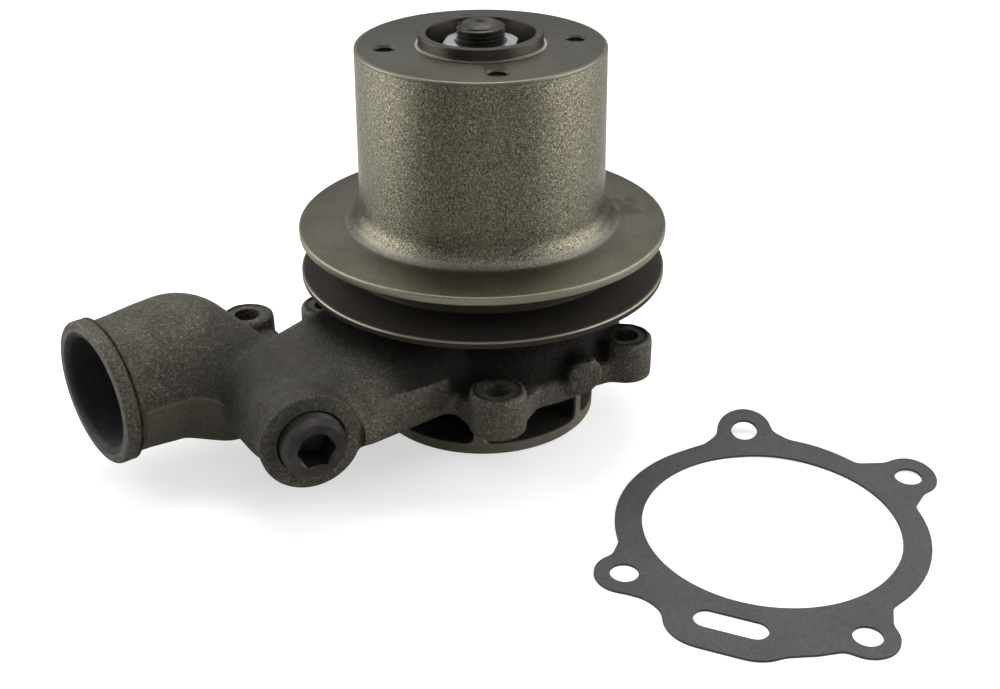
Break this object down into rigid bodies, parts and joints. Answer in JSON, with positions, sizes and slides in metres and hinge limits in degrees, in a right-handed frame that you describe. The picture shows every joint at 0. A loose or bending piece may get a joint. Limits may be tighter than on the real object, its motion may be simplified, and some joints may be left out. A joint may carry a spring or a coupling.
{
  "type": "engine coolant pump",
  "caption": "Belt-driven engine coolant pump with a cast body, side hose neck, grooved pulley, keyed spindle, rear impeller and its loose joint gasket.",
  "frame": {"origin": "spindle axis at the engine mounting face", "axes": "+Z along the spindle towards the fan, -X out of the hose neck"},
  "size_m": [0.2185, 0.2518, 0.1417],
  "materials": {
    "cast_housing": "sand-cast, machined on the mouth and plug faces",
    "pulley_iron": "turned and grit-blasted",
    "impeller_iron": "as cast, turned outside",
    "machined_steel": "turned",
    "dark_steel": "oiled, rolled thread",
    "zinc": "bright zinc plate",
    "bearing_steel": "ground",
    "brass_sheet": "pressed",
    "rubber_black": "moulded",
    "carbon": "lapped",
    "ceramic_white": "lapped ceramic",
    "felt": "pressed felt",
    "gasket_fibre": "compressed fibre paper"
  },
  "bodies": {
    "housing": {"pump_body": "cast_housing", "rear_bearing_outer": "bearing_steel", "front_bearing_outer": "bearing_steel", "bearing_circlip": "dark_steel", "felt_retainer": "machined_steel", "felt_seal": "felt", "seal_case": "brass_sheet", "seal_bellows": "rubber_black", "seal_spring": "machined_steel", "seal_carbon_ring": "carbon", "pipe_plug": "dark_steel"},
    "rotor": {"spindle": "dark_steel", "rear_bearing_inner": "bearing_steel", "front_bearing_inner": "bearing_steel", "bearing_spacer": "machined_steel", "water_slinger": "machined_steel", "seal_seat": "ceramic_white", "seat_cup": "rubber_black", "impeller": "impeller_iron", "pulley": "pulley_iron", "pulley_key": "machined_steel", "pulley_washer": "machined_steel", "pulley_nut": "zinc"},
    "rear_ball_set": {"rear_bearing_balls": "bearing_steel", "rear_bearing_cage": "brass_sheet"},
    "front_ball_set": {"front_bearing_balls": "bearing_steel", "front_bearing_cage": "brass_sheet"},
    "gasket": {"joint_gasket": "gasket_fibre"}
  },
  "joints": [
    {"name": "rotor_spin", "type": "hinge", "parent": "housing", "child": "rotor", "pos_m": [0, 0, 0.05], "axis": [0, 0, 1], "continuous": true},
    {"name": "rear_balls_spin", "type": "hinge", "parent": "housing", "child": "rear_ball_set", "pos_m": [0, 0, 0.045], "axis": [0, 0, 1], "continuous": true},
    {"name": "front_balls_spin", "type": "hinge", "parent": "housing", "child": "front_ball_set", "pos_m": [0, 0, 0.073], "axis": [0, 0, 1], "continuous": true},
    {"name": "gasket_lift", "type": "slide", "parent": "housing", "child": "gasket", "axis": [0, 0, 1], "range_m": [0, 0.05]}
  ],
  "couplings": [
    {"joint": "rear_balls_spin", "follows": "rotor_spin", "ratio": 0.3815},
    {"joint": "front_balls_spin", "follows": "rotor_spin", "ratio": 0.3815}
  ]
}
